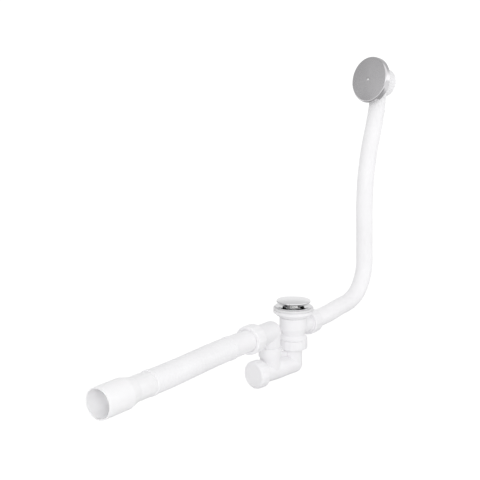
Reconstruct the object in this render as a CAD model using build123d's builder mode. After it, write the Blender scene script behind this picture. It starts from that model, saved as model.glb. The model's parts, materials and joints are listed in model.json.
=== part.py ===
from build123d import *
import os
from math import cos, radians, sin, sqrt

os.makedirs("parts", exist_ok=True)

# All lengths are in millimetres. The origin lies on the waste's axis, in the bath floor, under the flange.
# +Z is up, +X runs to the overflow and -X to the outlet.

# Fits and seals
slip = 0.3  # between two round faces that screw or slide together
seal_t = 2.0  # flat seals in the union nuts
collar_t = 3.0  # pipe collars that the union nuts clamp
lip_t = 3.0  # inner lips of the union nuts

# Grip ribs and bevels of the union nuts
rib_height = 0.6
rib_width = 2.6
rib_count = 16
nut_bevel = 1.6

# Chrome flange in the bath floor
flange_d = 70.0
flange_edge = 2.4
flange_round = 1.0
seat_d = 57.0
seat_drop = 3.2
throat_d = 45.0
throat_wall = 2.0
throat_length = 16.0
hub_d = 26.0
hub_height = 5.0
spoke_width = 3.0
spoke_count = 4

# Push plug, drawn open
plug_d = 64.2
plug_open = 10.4  # underside of the plug above the bath floor
plug_travel = 7.5
plug_edge = 2.4
plug_dome = 2.4
plug_round = 0.9
plug_seal_t = 2.5
stem_d = 16.6
stem_screw_d = 8.0
stem_screw_length = 3.0
stem_bore_d = 11.0
stem_roof = 4.0  # solid stem above its bore
stem_reach = 8.0  # foot of the open stem below the hub's top
keyway_room = 1.0  # at each end of the keyways

# Cartridge that holds the plug's stem
cartridge_d = 24.0
cartridge_screw_d = 20.0
cartridge_floor = 2.0
cartridge_stop = 0.5  # room left under the stem when the plug is down
cartridge_top_gap = 0.9  # room left under the plug's seal when the plug is down
latch_rise = 2.0  # latch ring above the hub's top
latch_width = 1.6
latch_height = 3.0
latch_pin = 1.2
latch_pin_width = 2.4
latch_pin_root = 0.4  # of the pins in the ring
spring_wire = 1.2
spring_turns = 4

# White moulded waste body
gasket_d = 75.5
gasket_t = 5.0
gasket_bevel = 1.0
rim_t = 5.0
cone_height = 8.2
groove_depth = 1.3
groove_height = 1.4
bowl_d = 52.0
bowl_foot = -41.0
tube_d = 43.5  # foot of the taper under the bowl
tube_foot = -53.0
tube_wall = 3.0
foot_d = 54.0  # moulded foot ring above the trap's nut
foot_bevel = 5.6
foot_height = 2.6
tail_thread_d = 44.0
tail_thread_length = 10.5
waste_bore_d = 32.0

# Side branch of the waste body
branch_z = -42.0
branch_d = 34.0
branch_thread_d = 40.5
branch_reach = 64.5
branch_thread_length = 17.0
branch_nut_d = 47.5

# Overflow hose
hose_d = 34.6
hose_bore_d = 29.0
hose_collar_d = 39.0
hose_level_x = 117.0  # where the hose starts to rise
hose_corner_x = 286.0
hose_corner_z = -27.5
hose_knee_x = 272.0
hose_knee_z = 233.0
hose_drop = 66.0  # straight fall from the head's axis to the shoulder
hose_rise_bend = 150.0
hose_corner_bend = 76.0
hose_knee_bend = 370.0
hose_shoulder_bend = 150.0

# Overflow head
cover_x = 292.8  # crown of the cover before the head is turned
cover_z = 425.3
cover_lean = 8.0  # degrees that the cover faces upwards
head_turn = 14.5  # degrees that the head is turned on its hose
cover_d = 95.4
cover_crown = 2.6
cover_depth = 14.0
cover_round = 4.5
cover_skin = 1.3
cover_boss_d = 20.0
cover_boss_wall = 3.0
inlet_width = 36.0  # notch under the cover that takes the water in
inlet_height = 7.0
grate_gap = 1.0  # between the cover's back edge and the bath wall
grate_d = 62.0
grate_t = 2.0
grate_slots = 6
grate_slot_width = 8.0
grate_slot_length = 16.0
grate_slot_ring_d = 36.0
head_gasket_d = 68.0
head_gasket_bore_d = 52.0
head_gasket_t = 2.0
head_rim_d = 64.0
head_rim_t = 3.0
head_d = 58.0
head_wall = 2.6
head_length = 38.0
boss_d = 11.0
boss_room = 1.0  # between the screw boss and the neck's bore
screw_d = 6.0
screw_head_d = 10.4
screw_head_t = 3.0
screw_length = 24.0
screw_room = 1.0  # past the screw's tip
screw_slot_width = 1.4
neck_depth = 36.0  # hose axis behind the cover's crown
neck_step = 0.5  # seat of the hose beyond the rim
neck_spigot_length = 14.0
neck_spigot_wall = 2.0

# Trap, turned in its union out of the overflow's plane
trap_turn = 11.0  # degrees
down_d = 35.0
trap_corner_d = 36.4  # round lower corner under the down pipe
trap_d = 39.6  # lower run
trap_taper_from = 12.0  # along the lower run
trap_taper_to = 44.0
trap_wall = 2.8
trap_z = -110.8
trap_inlet_nut_d = 55.0
web_t = 3.0  # web between the down pipe and the riser
web_gap = 1.8  # room for the union nut above the web
riser_reach = 61.0
riser_d = 38.6
riser_collar_d = 43.6
riser_collar_height = 18.0
riser_top = -65.0
riser_seal_t = 3.0

# Cleanout
cleanout_reach = 98.0
cleanout_thread_d = 42.6
cleanout_thread_length = 12.0
cleanout_cap_d = 51.6
cleanout_cap_length = 19.5
cleanout_face_t = 5.0
cleanout_recess = 2.2
cleanout_rim = 4.0
cleanout_ribs = 16

# Outlet elbow and nut, measured from the riser's axis
outlet_z = -36.5
elbow_d = 38.4
elbow_foot_d = 37.6  # over the riser
elbow_spigot_wall = 2.2
socket_reach = 69.0
socket_depth = 17.0
socket_back_t = 3.0
socket_wall = 1.9
outlet_nut_wall = 4.0
outlet_nut_length = 24.0

# Outlet pipe
pipe_d = 40.0
pipe_wall = 2.2
tail_length = 74.0
hose_run = 210.0
hose_lead = 34.0  # straight start of the ringed hose
hose_trail = 50.0  # straight end of the ringed hose
end_z = -40.5
hose_gentle_bend = 900.0
ring_crest_d = 41.2
ring_root_d = 39.0
ring_bore_d = 34.0
ring_count = 31
cuff_d = 42.4
cuff_length = 7.0
end_neck_length = 35.5
step_length = 19.0
end_length = 52.5
end_d = 50.0
end_wall = 2.2

# Axes of the joints, each with its height along the way that its pieces are fitted
lean = radians(cover_lean)
run_x, run_y = -cos(radians(trap_turn)), sin(radians(trap_turn))
riser_x, riser_y = riser_reach * run_x, riser_reach * run_y
waste = Plane.XY
down = Plane((0, 0, 0), x_dir=(1, 0, 0), z_dir=(0, 0, -1))
branch = Plane((0, 0, branch_z), x_dir=(0, 1, 0), z_dir=(1, 0, 0))
cleanout = Plane((0, 0, trap_z), x_dir=(0, 0, 1), z_dir=(run_x, run_y, 0))
riser = Plane((riser_x, riser_y, 0), x_dir=(1, 0, 0), z_dir=(0, 0, 1))
outlet = Plane((riser_x, riser_y, outlet_z), x_dir=(0, 1, 0), z_dir=(-1, 0, 0))
end_line = Plane((riser_x, riser_y, end_z), x_dir=(0, 1, 0), z_dir=(-1, 0, 0))
neck_at = (cover_x + neck_depth * cos(lean), 0, cover_z - neck_depth * sin(lean))
neck = Plane(neck_at, x_dir=(0, 1, 0), z_dir=(-sin(lean), 0, -cos(lean)))
aside = radians(head_turn)
head_side = (sin(aside) * cos(lean), cos(aside), -sin(aside) * sin(lean))
head_way = (-cos(aside) * cos(lean), sin(aside), cos(aside) * sin(lean))
head = Plane(neck_at, x_dir=head_side, z_dir=head_way).offset(neck_depth)


def turn(base, corners, mode=Mode.ADD):
    """Revolve a closed half section of (radius, height) corners about the base plane's axis."""
    with BuildSketch(Plane(base.origin, x_dir=base.x_dir, z_dir=-base.y_dir)) as half:
        with BuildLine():
            Polyline(*corners, close=True)
        make_face()
    revolve(half.sketch, axis=Axis(base.origin, base.z_dir), mode=mode)


def ring(base, outer_d, inner_d, low, high, mode=Mode.ADD):
    """Add a plain ring between two heights on the base plane's axis."""
    outer, inner = outer_d / 2, inner_d / 2
    turn(base, [(inner, low), (outer, low), (outer, high), (inner, high)], mode)


def round_rod(base, diameter, high, mode=Mode.ADD, side=()):
    """Add a rod from a round end about the base plane's origin, past the side corners, to a flat end."""
    r = diameter / 2
    last_r = side[-1][0] if side else r
    with BuildSketch(Plane(base.origin, x_dir=base.x_dir, z_dir=-base.y_dir)) as half:
        with BuildLine():
            CenterArc((0, 0), r, -90, 90)
            Polyline((r, 0), *side, (last_r, high), (0, high), (0, -r))
        make_face()
    revolve(half.sketch, axis=Axis(base.origin, base.z_dir), mode=mode)


def grip_blank(base, low, high, outer_d, ribs):
    """Add a solid disc between two heights, with bevelled ends and grip ribs round it."""
    core, top = outer_d / 2 - rib_height, outer_d / 2
    with BuildSketch(base.offset(low)) as outline:
        Circle(core)
        with PolarLocations(core, ribs):
            Rectangle(2 * rib_height, rib_width)
    extrude(outline.sketch, amount=high - low)
    edge = top - nut_bevel
    lower = [(0, low), (edge, low), (top, low + nut_bevel)]
    upper = [(top, high - nut_bevel), (edge, high), (0, high)]
    turn(base, lower + upper, Mode.INTERSECT)


def hand_nut(base, low, high, outer_d, bore_d, hole_d):
    """Add a ribbed union nut with its threaded mouth at low and its inner lip at high."""
    grip_blank(base, low, high, outer_d, rib_count)
    ring(base, bore_d, 0, low, high - lip_t, Mode.SUBTRACT)
    ring(base, hole_d, 0, high - lip_t, high, Mode.SUBTRACT)


# Heights and radii that several pieces share
grate_front = cover_depth + grate_gap - grate_t
socket_d = pipe_d + 2 * (slip + socket_wall)
outlet_nut_d = socket_d + 2 * (slip + outlet_nut_wall)
flange_r, seat_r, throat_r = flange_d / 2, seat_d / 2, throat_d / 2
throat_in = throat_r - throat_wall
seat_slope = seat_drop / (seat_r - throat_in)
hub_top = hub_height - throat_length
plug_down = plug_open - plug_seal_t - plug_travel
plug_seal_r = seat_r - (flange_edge - plug_down + slip) / seat_slope
stem_top = plug_open - plug_seal_t
cartridge_top = plug_down - cartridge_top_gap
cartridge_bore_d = stem_d + 2 * slip
stem_low = hub_top - stem_reach
latch_z = hub_top + latch_rise
cartridge_deep = stem_low - plug_travel - cartridge_stop
stem_bore_top = stem_top - stem_roof
rim_top = -gasket_t
rim_low = rim_top - rim_t
cone_low = rim_low - cone_height
foot_low = tube_foot - foot_bevel - foot_height
tail_low = foot_low - tail_thread_length
trap_top = tail_low - seal_t
trap_collar_low = trap_top - collar_t

# Chrome flange with its seat, throat and cross web
with BuildPart() as waste_flange:
    turn(
        waste,
        [
            (throat_in, -throat_length),
            (throat_r, -throat_length),
            (throat_r, -seat_drop),
            (seat_r, 0),
            (flange_r, 0),
            (flange_r, flange_edge),
            (seat_r, flange_edge),
            (throat_in, flange_edge - seat_drop),
        ],
    )
    fillet(waste_flange.edges().filter_by(GeomType.CIRCLE).sort_by(SortBy.RADIUS)[-2:], flange_round)
    ring(waste, hub_d, cartridge_screw_d + 2 * slip, -throat_length, hub_top)
    with BuildSketch(Plane.XY.offset(-throat_length)):
        with PolarLocations((hub_d / 2 + throat_in) / 2, spoke_count):
            Rectangle(throat_in - hub_d / 2 + throat_wall / 2, spoke_width)
    extrude(amount=hub_height)
waste_flange.part.label = "waste_flange"
export_step(waste_flange.part, "parts/waste_flange.step")

# Domed plug with a blind hole for the stem's screw
with BuildPart() as plug_cap:
    plug_r = plug_d / 2
    edge_top = plug_open + plug_edge
    dome_r = (plug_r**2 + plug_dome**2) / (2 * plug_dome)
    with BuildSketch(Plane.XZ):
        with BuildLine():
            Line((0, edge_top + plug_dome), (0, plug_open))
            Line((0, plug_open), (plug_r, plug_open))
            Line((plug_r, plug_open), (plug_r, edge_top))
            RadiusArc((plug_r, edge_top), (0, edge_top + plug_dome), -dome_r)
        make_face()
    revolve(axis=Axis.Z)
    fillet(plug_cap.edges().filter_by(GeomType.CIRCLE).sort_by(SortBy.RADIUS)[-2:], plug_round)
    ring(waste, stem_screw_d + 2 * slip, 0, plug_open, plug_open + stem_screw_length + slip, Mode.SUBTRACT)
plug_cap.part.label = "plug_cap"
export_step(plug_cap.part, "parts/plug_cap.step")

# Washer under the plug that closes on the flange's seat
with BuildPart() as plug_seal:
    ring(waste, 2 * plug_seal_r, stem_screw_d + 2 * slip, stem_top, plug_open)
plug_seal.part.label = "plug_seal"
export_step(plug_seal.part, "parts/plug_seal.step")

# Hollow stem with two keyways for the latch ring's pins
with BuildPart() as plug_stem:
    ring(waste, stem_d, 0, stem_low, stem_top)
    ring(waste, stem_screw_d, 0, stem_top, plug_open + stem_screw_length)
    ring(waste, stem_bore_d, 0, stem_low, stem_bore_top, Mode.SUBTRACT)
    keyway_low = latch_z - keyway_room
    keyway_high = latch_z + latch_height + plug_travel + keyway_room
    with BuildSketch(Plane.XY.offset(keyway_low)):
        with PolarLocations(stem_d / 2, 2, start_angle=90):
            Rectangle(2 * (latch_pin + slip), latch_pin_width + 2 * slip)
    extrude(amount=keyway_high - keyway_low, mode=Mode.SUBTRACT)
plug_stem.part.label = "plug_stem"
export_step(plug_stem.part, "parts/plug_stem.step")

# Cartridge housing, screwed into the flange's hub down to its shoulder
with BuildPart() as cartridge_housing:
    screw_r, shoulder_r, bore_r = cartridge_screw_d / 2, cartridge_d / 2, cartridge_bore_d / 2
    floor_low = cartridge_deep - cartridge_floor
    turn(
        waste,
        [
            (0, floor_low),
            (screw_r, floor_low),
            (screw_r, hub_top),
            (shoulder_r, hub_top),
            (shoulder_r, cartridge_top),
            (bore_r, cartridge_top),
            (bore_r, cartridge_deep),
            (0, cartridge_deep),
        ],
    )
    groove_r = bore_r + latch_width
    ring(waste, 2 * (groove_r + slip), 0, latch_z, latch_z + latch_height, Mode.SUBTRACT)
cartridge_housing.part.label = "cartridge_housing"
export_step(cartridge_housing.part, "parts/cartridge_housing.step")

# Latch ring in the housing's groove, with two pins in the stem's keyways
with BuildPart() as latch_ring:
    ring(waste, 2 * groove_r, cartridge_bore_d, latch_z, latch_z + latch_height)
    with BuildSketch(Plane.XY.offset(latch_z)):
        with PolarLocations(bore_r + latch_pin_root / 2 - latch_pin / 2, 2, start_angle=90):
            Rectangle(latch_pin + latch_pin_root, latch_pin_width)
    extrude(amount=latch_height)
latch_ring.part.label = "latch_ring"
export_step(latch_ring.part, "parts/latch_ring.step")

# Spring between the cartridge's floor and the roof of the stem's bore
with BuildPart() as cartridge_spring:
    spring_r = stem_bore_d / 2 - spring_wire - slip
    spring_low = cartridge_deep + spring_wire / 2
    spring_height = stem_bore_top - slip - spring_wire - cartridge_deep
    with BuildLine() as spring_path:
        Helix(spring_height / spring_turns, spring_height, spring_r, center=(0, 0, spring_low))
    with BuildSketch(Plane(spring_path.line @ 0, x_dir=(1, 0, 0), z_dir=spring_path.line % 0)):
        Rectangle(spring_wire, spring_wire)
    sweep(path=spring_path.line, is_frenet=True)
cartridge_spring.part.label = "cartridge_spring"
export_step(cartridge_spring.part, "parts/cartridge_spring.step")

# Thick gasket between the bath floor and the waste body
with BuildPart() as waste_gasket:
    ring(waste, gasket_d, seat_d + 2 * slip, rim_top, 0)
    chamfer(waste_gasket.edges().filter_by(GeomType.CIRCLE).sort_by(SortBy.RADIUS)[-2:], gasket_bevel)
waste_gasket.part.label = "waste_gasket"
export_step(waste_gasket.part, "parts/waste_gasket.step")

# Waste body: clamped rim, bowl, taper, foot ring, threaded tail and side branch
with BuildPart() as waste_body:
    bowl_r, tube_r, tail_r = bowl_d / 2, tube_d / 2, tail_thread_d / 2
    groove_low = cone_low - groove_height
    turn(
        waste,
        [
            (0, rim_top),
            (gasket_d / 2, rim_top),
            (gasket_d / 2, rim_low),
            (bowl_r + groove_depth, cone_low),
            (bowl_r - groove_depth, cone_low),
            (bowl_r - groove_depth, groove_low),
            (bowl_r, groove_low),
            (bowl_r, bowl_foot),
            (tube_r, tube_foot),
            (foot_d / 2, tube_foot - foot_bevel),
            (foot_d / 2, foot_low),
            (tail_r, foot_low),
            (tail_r, tail_low),
            (0, tail_low),
        ],
    )
    ring(branch, branch_d, 0, 0, branch_reach)
    ring(branch, branch_thread_d, 0, branch_reach - branch_thread_length, branch_reach)
    turn(
        waste,
        [
            (0, rim_top),
            (throat_r + slip, rim_top),
            (throat_r + slip, -throat_length - slip),
            (bowl_r - tube_wall, -throat_length - slip),
            (bowl_r - tube_wall, bowl_foot),
            (tube_r - tube_wall, tube_foot),
            (waste_bore_d / 2, foot_low),
            (waste_bore_d / 2, tail_low),
            (0, tail_low),
        ],
        Mode.SUBTRACT,
    )
    ring(branch, hose_bore_d, 0, 0, branch_reach, Mode.SUBTRACT)
waste_body.part.label = "waste_body"
export_step(waste_body.part, "parts/waste_body.step")

# Branch union: flat seal and nut; the hose's collar sits between the seal and the nut's lip
hose_from = branch_reach + seal_t
branch_nut_end = hose_from + collar_t + lip_t
with BuildPart() as branch_seal:
    ring(branch, hose_collar_d, hose_bore_d, branch_reach, hose_from)
branch_seal.part.label = "branch_seal"
export_step(branch_seal.part, "parts/branch_seal.step")

with BuildPart() as branch_nut:
    nut_low = branch_reach - branch_thread_length
    hand_nut(branch, nut_low, branch_nut_end, branch_nut_d, branch_thread_d + 2 * slip, hose_d + 2 * slip)
branch_nut.part.label = "branch_nut"
export_step(branch_nut.part, "parts/branch_nut.step")

# Overflow hose: level run, slight rise, one large bend, upright run and a lean to the head's neck
hose_to = head_rim_d / 2 + neck_step
with BuildPart() as overflow_hose:
    with BuildLine() as hose_path:
        FilletPolyline(
            (hose_from, 0, branch_z),
            (hose_level_x, 0, branch_z),
            (hose_corner_x, 0, hose_corner_z),
            (hose_knee_x, 0, hose_knee_z),
            neck.offset(hose_drop).origin,
            neck.offset(hose_to).origin,
            radius=(hose_rise_bend, hose_corner_bend, hose_knee_bend, hose_shoulder_bend),
        )
    with BuildSketch(branch.offset(hose_from)):
        Circle(hose_d / 2)
        Circle(hose_bore_d / 2, mode=Mode.SUBTRACT)
    sweep(path=hose_path.line)
    ring(branch, hose_collar_d, (hose_d + hose_bore_d) / 2, hose_from, hose_from + collar_t)
overflow_hose.part.label = "overflow_hose"
export_step(overflow_hose.part, "parts/overflow_hose.step")

# Overflow body: clamped rim, closed cup, screw boss and the neck that the hose is pushed over
grate_back = -grate_front - grate_t
head_front = grate_back - head_gasket_t
head_back = head_front - head_length
with BuildPart() as overflow_body:
    spigot_d = hose_bore_d - 2 * slip
    spigot_end = hose_to + neck_spigot_length
    ring(head, head_d, 0, head_back, head_front)
    ring(head, head_rim_d, 0, head_front - head_rim_t, head_front)
    ring(neck, hose_d, 0, 0, hose_to)
    ring(neck, spigot_d, 0, hose_to, spigot_end)
    ring(head, head_d - 2 * head_wall, boss_d, head_back + head_wall, head_front, Mode.SUBTRACT)
    ring(neck, spigot_d - 2 * neck_spigot_wall, 0, boss_d / 2 + boss_room, spigot_end, Mode.SUBTRACT)
    ring(head, screw_d + 2 * slip, 0, grate_back - screw_length, head_front, Mode.SUBTRACT)
overflow_body.part.label = "overflow_body"
export_step(overflow_body.part, "parts/overflow_body.step")

# Gasket, grate and screw that clamp the overflow body to the bath wall
with BuildPart() as overflow_gasket:
    ring(head, head_gasket_d, head_gasket_bore_d, head_front, grate_back)
overflow_gasket.part.label = "overflow_gasket"
export_step(overflow_gasket.part, "parts/overflow_gasket.step")

with BuildPart() as overflow_grate:
    ring(head, grate_d, screw_d + 2 * slip, grate_back, -grate_front)
    with BuildSketch(head.offset(grate_back)):
        with PolarLocations(grate_slot_ring_d / 2, grate_slots):
            SlotOverall(grate_slot_length, grate_slot_width, rotation=90)
    extrude(amount=grate_t, mode=Mode.SUBTRACT)
overflow_grate.part.label = "overflow_grate"
export_step(overflow_grate.part, "parts/overflow_grate.step")

with BuildPart() as overflow_screw:
    ring(head, screw_d, 0, grate_back - screw_length + screw_room, -grate_front)
    ring(head, screw_head_d, 0, -grate_front, screw_head_t - grate_front)
    with BuildSketch(head.offset(screw_head_t - grate_front)):
        Rectangle(screw_head_d + 2 * slip, screw_slot_width)
    extrude(amount=-screw_head_t / 2, mode=Mode.SUBTRACT)
overflow_screw.part.label = "overflow_screw"
export_step(overflow_screw.part, "parts/overflow_screw.step")

# Round cover: a crowned shell with a rounded rim, and a boss inside that stands on the grate
with BuildPart() as overflow_cover:
    cover_r = cover_d / 2
    crown_r = (cover_r**2 + cover_crown**2) / (2 * cover_crown)
    head_axis = Axis(head.origin, head.z_dir)
    with BuildSketch(Plane(head.origin, x_dir=head.x_dir, z_dir=-head.y_dir)):
        with BuildLine():
            RadiusArc((cover_r, -cover_crown), (0, 0), -crown_r)
            Polyline((0, 0), (0, -cover_depth), (cover_r, -cover_depth), (cover_r, -cover_crown))
        make_face()
    revolve(axis=head_axis)
    rims = overflow_cover.edges().filter_by(GeomType.CIRCLE).filter_by(lambda e: e.radius < crown_r / 2)
    fillet(rims.sort_by(head_axis)[-1], min(cover_round, cover_depth - cover_crown))
    offset(amount=-cover_skin, openings=overflow_cover.faces().sort_by(head_axis)[0])
    boss_in = cover_boss_d / 2 - cover_boss_wall
    boss_drop = crown_r - sqrt((crown_r - cover_skin) ** 2 - boss_in**2) - cover_skin / 2
    ring(head, cover_boss_d, 2 * boss_in, -grate_front, -boss_drop)
    with BuildSketch(head.offset(-cover_depth)):
        with Locations((0, cover_r)):
            Rectangle(inlet_width, cover_d / 2)
    extrude(amount=inlet_height, mode=Mode.SUBTRACT)
overflow_cover.part.label = "overflow_cover"
export_step(overflow_cover.part, "parts/overflow_cover.step")

# Trap inlet union under the waste body
with BuildPart() as trap_inlet_seal:
    ring(down, tail_thread_d, waste_bore_d, -tail_low, -trap_top)
trap_inlet_seal.part.label = "trap_inlet_seal"
export_step(trap_inlet_seal.part, "parts/trap_inlet_seal.step")

with BuildPart() as trap_inlet_nut:
    inlet_low = slip - foot_low
    inlet_end = lip_t - trap_collar_low
    hand_nut(down, inlet_low, inlet_end, trap_inlet_nut_d, tail_thread_d + 2 * slip, down_d + 2 * slip)
trap_inlet_nut.part.label = "trap_inlet_nut"
export_step(trap_inlet_nut.part, "parts/trap_inlet_nut.step")

# Trap body: down pipe, round lower corner, lower run, riser with its socket collar and cleanout thread
with BuildPart() as trap_body:
    trap_bore_d = trap_d - 2 * trap_wall
    down_bore_d = down_d - 2 * trap_wall
    corner_bore_d = trap_corner_d - 2 * trap_wall
    run_side = [(trap_corner_d / 2, trap_taper_from), (trap_d / 2, trap_taper_to)]
    bore_side = [(corner_bore_d / 2, trap_taper_from), (trap_bore_d / 2, trap_taper_to)]
    riser_bore_d = riser_d - 2 * trap_wall
    ring(down, down_d, 0, -trap_top, -trap_z)
    ring(down, tail_thread_d, 0, -trap_top, -trap_collar_low)
    round_rod(cleanout, trap_corner_d, cleanout_reach, Mode.ADD, run_side)
    ring(cleanout, cleanout_thread_d, 0, cleanout_reach - cleanout_thread_length, cleanout_reach)
    ring(riser, riser_d, 0, trap_z, riser_top)
    ring(riser, riser_collar_d, 0, riser_top - riser_collar_height, riser_top)
    with BuildSketch(Plane((0, 0, trap_z), x_dir=(run_x, run_y, 0), z_dir=(0, 0, 1))) as web:
        with Locations((riser_reach / 2, 0)):
            Rectangle(riser_reach, web_t)
    extrude(web.sketch, amount=-inlet_end - web_gap - trap_z)
    ring(down, down_bore_d, 0, -trap_top, -trap_z, Mode.SUBTRACT)
    round_rod(cleanout, corner_bore_d, cleanout_reach, Mode.SUBTRACT, bore_side)
    ring(riser, riser_bore_d, 0, trap_z, riser_top, Mode.SUBTRACT)
    seal_groove_d = riser_collar_d - 2 * trap_wall
    seal_low = riser_top - riser_collar_height / 2 - riser_seal_t / 2
    ring(riser, seal_groove_d, 0, seal_low, seal_low + riser_seal_t, Mode.SUBTRACT)
trap_body.part.label = "trap_body"
export_step(trap_body.part, "parts/trap_body.step")

# Cleanout cap with its washer
cap_seat = cleanout_reach + seal_t
with BuildPart() as cleanout_seal:
    ring(cleanout, cleanout_thread_d, trap_bore_d, cleanout_reach, cap_seat)
cleanout_seal.part.label = "cleanout_seal"
export_step(cleanout_seal.part, "parts/cleanout_seal.step")

with BuildPart() as cleanout_cap:
    cap_end = cap_seat + cleanout_face_t
    cap_low = cap_end - cleanout_cap_length
    grip_blank(cleanout, cap_low, cap_end, cleanout_cap_d, cleanout_ribs)
    ring(cleanout, cleanout_thread_d + 2 * slip, 0, cap_low, cap_seat, Mode.SUBTRACT)
    ring(cleanout, cleanout_cap_d - 2 * cleanout_rim, 0, cap_end - cleanout_recess, cap_end, Mode.SUBTRACT)
cleanout_cap.part.label = "cleanout_cap"
export_step(cleanout_cap.part, "parts/cleanout_cap.step")

# Sealing ring in the riser's socket
with BuildPart() as riser_seal:
    ring(riser, seal_groove_d - 2 * slip, riser_bore_d, seal_low, seal_low + riser_seal_t)
riser_seal.part.label = "riser_seal"
export_step(riser_seal.part, "parts/riser_seal.step")

# Outlet elbow: spigot in the riser, round corner and a threaded socket
socket_low = socket_reach - socket_depth
with BuildPart() as outlet_elbow:
    elbow_spigot_d = riser_bore_d - 2 * slip
    elbow_low = riser_top - riser_collar_height
    ring(riser, elbow_foot_d, 0, riser_top, outlet_z)
    ring(riser, elbow_spigot_d, 0, elbow_low, riser_top)
    round_rod(outlet, elbow_d, socket_low)
    ring(outlet, socket_d, 0, socket_low - socket_back_t, socket_reach)
    ring(riser, elbow_spigot_d - 2 * elbow_spigot_wall, 0, elbow_low, outlet_z, Mode.SUBTRACT)
    round_rod(outlet, elbow_d - 2 * trap_wall, socket_low, Mode.SUBTRACT)
    ring(outlet, pipe_d + 2 * slip, 0, socket_low, socket_reach, Mode.SUBTRACT)
outlet_elbow.part.label = "outlet_elbow"
export_step(outlet_elbow.part, "parts/outlet_elbow.step")

# Outlet union: ring seal and nut on the elbow's socket
outlet_seat = socket_reach + seal_t
with BuildPart() as outlet_seal:
    ring(outlet, socket_d, pipe_d + 2 * slip, socket_reach, outlet_seat)
outlet_seal.part.label = "outlet_seal"
export_step(outlet_seal.part, "parts/outlet_seal.step")

with BuildPart() as outlet_nut:
    outlet_nut_end = outlet_seat + lip_t
    outlet_nut_low = outlet_nut_end - outlet_nut_length
    hand_nut(outlet, outlet_nut_low, outlet_nut_end, outlet_nut_d, socket_d + 2 * slip, pipe_d + 2 * slip)
outlet_nut.part.label = "outlet_nut"
export_step(outlet_nut.part, "parts/outlet_nut.step")

# Smooth tail from the elbow's socket to the ringed hose
hose_start = socket_low + tail_length
hose_end = hose_start + hose_run
with BuildPart() as outlet_tail:
    ring(outlet, pipe_d, pipe_d - 2 * pipe_wall, socket_low, hose_start)
outlet_tail.part.label = "outlet_tail"
export_step(outlet_tail.part, "parts/outlet_tail.step")

# Ringed outlet hose: round sections of crest and root size along a gentle double bend
with BuildPart() as outlet_hose:
    with BuildLine() as ring_path:
        FilletPolyline(
            outlet.offset(hose_start).origin,
            outlet.offset(hose_start + hose_lead).origin,
            end_line.offset(hose_end - hose_trail).origin,
            end_line.offset(hose_end).origin,
            radius=hose_gentle_bend,
        )
    for k in range(2 * ring_count + 1):
        station = k / (2 * ring_count)
        with BuildSketch(Plane(ring_path.line @ station, x_dir=(0, 1, 0), z_dir=ring_path.line % station)):
            Circle((ring_crest_d if k % 2 else ring_root_d) / 2)
    loft(ruled=True)
    ring(outlet, cuff_d, 0, hose_start, hose_start + cuff_length)
    ring(end_line, cuff_d, 0, hose_end - cuff_length, hose_end)
    with BuildSketch(outlet.offset(hose_start)):
        Circle(ring_bore_d / 2)
    sweep(path=ring_path.line, mode=Mode.SUBTRACT)
outlet_hose.part.label = "outlet_hose"
export_step(outlet_hose.part, "parts/outlet_hose.step")

# Stepped end that plugs into either of two pipe sizes
with BuildPart() as outlet_end:
    step_start = hose_end + end_neck_length
    step_end = step_start + step_length
    end_reach = step_end + end_length
    pipe_r, end_r = pipe_d / 2, end_d / 2
    turn(
        end_line,
        [
            (pipe_r - pipe_wall, hose_end),
            (pipe_r, hose_end),
            (pipe_r, step_start),
            (end_r, step_end),
            (end_r, end_reach),
            (end_r - end_wall, end_reach),
            (end_r - end_wall, step_end + pipe_wall),
            (pipe_r - pipe_wall, step_start + pipe_wall),
        ],
    )
outlet_end.part.label = "outlet_end"
export_step(outlet_end.part, "parts/outlet_end.step")
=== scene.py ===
import json
from math import acos, atan2, cos, pi, radians, sin

import bpy
import numpy as np
from bpy.props import FloatProperty, FloatVectorProperty, IntProperty, PointerProperty
from bpy.types import Operator, Panel, PropertyGroup
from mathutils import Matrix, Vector


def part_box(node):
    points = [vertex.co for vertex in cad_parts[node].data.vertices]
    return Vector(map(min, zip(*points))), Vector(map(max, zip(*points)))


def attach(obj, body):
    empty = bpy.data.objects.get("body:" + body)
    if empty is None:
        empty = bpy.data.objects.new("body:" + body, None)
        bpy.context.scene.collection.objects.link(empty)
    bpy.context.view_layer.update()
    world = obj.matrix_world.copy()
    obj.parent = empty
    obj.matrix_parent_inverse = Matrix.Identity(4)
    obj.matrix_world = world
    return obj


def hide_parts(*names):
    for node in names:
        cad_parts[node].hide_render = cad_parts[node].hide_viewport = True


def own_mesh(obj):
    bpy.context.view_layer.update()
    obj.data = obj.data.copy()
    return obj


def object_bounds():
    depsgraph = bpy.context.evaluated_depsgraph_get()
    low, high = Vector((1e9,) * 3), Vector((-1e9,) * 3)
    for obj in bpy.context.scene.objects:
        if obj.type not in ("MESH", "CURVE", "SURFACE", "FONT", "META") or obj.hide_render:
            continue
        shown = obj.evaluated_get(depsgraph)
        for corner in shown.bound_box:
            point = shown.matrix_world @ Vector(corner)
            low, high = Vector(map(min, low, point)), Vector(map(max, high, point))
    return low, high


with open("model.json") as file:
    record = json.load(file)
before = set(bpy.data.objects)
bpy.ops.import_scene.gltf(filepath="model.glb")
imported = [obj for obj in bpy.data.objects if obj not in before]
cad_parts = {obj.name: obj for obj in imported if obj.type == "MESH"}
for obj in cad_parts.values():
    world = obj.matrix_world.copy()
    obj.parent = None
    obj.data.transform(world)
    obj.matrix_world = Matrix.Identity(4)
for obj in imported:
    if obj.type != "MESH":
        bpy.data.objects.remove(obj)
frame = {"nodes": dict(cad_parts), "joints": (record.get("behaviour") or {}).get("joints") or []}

bl_info = {
    "name": "Bath waste and overflow",
    "version": (1, 0, 0),
    "blender": (4, 5, 0),
    "location": "View3D > Sidebar > Bath waste",
    "description": "Hoses, threads, finishes and a small studio for a bath waste and overflow",
    "category": "Object",
}

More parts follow.
